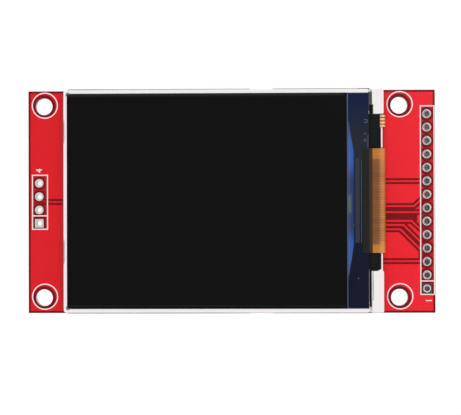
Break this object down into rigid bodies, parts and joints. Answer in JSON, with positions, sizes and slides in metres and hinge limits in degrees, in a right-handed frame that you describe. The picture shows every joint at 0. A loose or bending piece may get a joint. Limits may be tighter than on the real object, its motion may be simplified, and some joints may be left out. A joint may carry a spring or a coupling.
{
  "type": "tft display module",
  "caption": "Small colour display panel on a red circuit board, with a row of pins and a memory card socket on the back.",
  "frame": {"origin": "centre of the four mounting holes, on the back face of the circuit board", "axes": "+Z out of the display, +X along the board from the card header end to the pin header end, +Y across the board"},
  "size_m": [0.0772, 0.0424, 0.0136],
  "materials": {
    "laminate": "red solder mask over fibreglass",
    "legend_ink": "printed white ink",
    "tinned_pad": "tinned copper",
    "header_plastic": "moulded black plastic",
    "pin_gold": "gold-plated pins",
    "solder": "bright solder",
    "tray_steel": "thin plated steel sheet",
    "frame_white": "moulded white plastic",
    "reflector_film": "white reflecting film",
    "clear_acrylic": "clear light guide",
    "diffuser_film": "frosted film",
    "prism_film": "clear ribbed film",
    "black_tape": "black adhesive tape",
    "polariser_film": "black polariser",
    "dark_glass": "dark bare glass",
    "chip_silicon": "bare silicon",
    "blue_resin": "blue sealing resin",
    "amber_film": "amber polyimide over copper",
    "strip_gold": "gold contact pads on flexible strip",
    "lamp_yellow": "phosphor lamp",
    "foam": "foam mounting tape",
    "socket_plastic": "black heat-proof plastic",
    "socket_steel": "stamped steel shell",
    "contact_gold": "gold-plated springs",
    "package_black": "moulded package",
    "ceramic_tan": "ceramic capacitor",
    "resistor_black": "resistor glaze"
  },
  "bodies": {
    "root": {"circuit_board": "laminate", "front_legend": "legend_ink", "back_legend": "legend_ink", "card_header_pads": "tinned_pad", "spare_pads": "tinned_pad", "header_base": "header_plastic", "header_pin_01": "pin_gold", "header_pin_02": "pin_gold", "header_pin_03": "pin_gold", "header_pin_04": "pin_gold", "header_pin_05": "pin_gold", "header_pin_06": "pin_gold", "header_pin_07": "pin_gold", "header_pin_08": "pin_gold", "header_pin_09": "pin_gold", "header_pin_10": "pin_gold", "header_pin_11": "pin_gold", "header_pin_12": "pin_gold", "header_pin_13": "pin_gold", "header_pin_14": "pin_gold", "solder_joints": "solder", "display_tray": "tray_steel", "backlight_frame": "frame_white", "reflector_sheet": "reflector_film", "light_guide": "clear_acrylic", "diffuser_sheet": "diffuser_film", "lower_prism_sheet": "prism_film", "upper_prism_sheet": "prism_film", "rim_tape": "black_tape", "rear_polariser": "polariser_film", "tft_glass": "dark_glass", "colour_filter_glass": "dark_glass", "front_polariser": "polariser_film", "driver_chip": "chip_silicon", "edge_bead": "blue_resin", "display_tail": "amber_film", "tail_solder": "solder", "shade_tape": "black_tape", "backlight_strip": "strip_gold", "strip_solder": "solder", "lamp_1": "lamp_yellow", "lamp_2": "lamp_yellow", "lamp_3": "lamp_yellow", "lamp_4": "lamp_yellow", "foam_tape_left": "foam", "foam_tape_right": "foam", "socket_base": "socket_plastic", "socket_shell": "socket_steel", "socket_contacts": "contact_gold", "regulator_body": "package_black", "regulator_legs": "tinned_pad", "transistor_body": "package_black", "transistor_legs": "tinned_pad", "chip_resistors": "resistor_black", "chip_capacitors": "ceramic_tan", "chip_ends": "tinned_pad"}
  },
  "joints": []
}
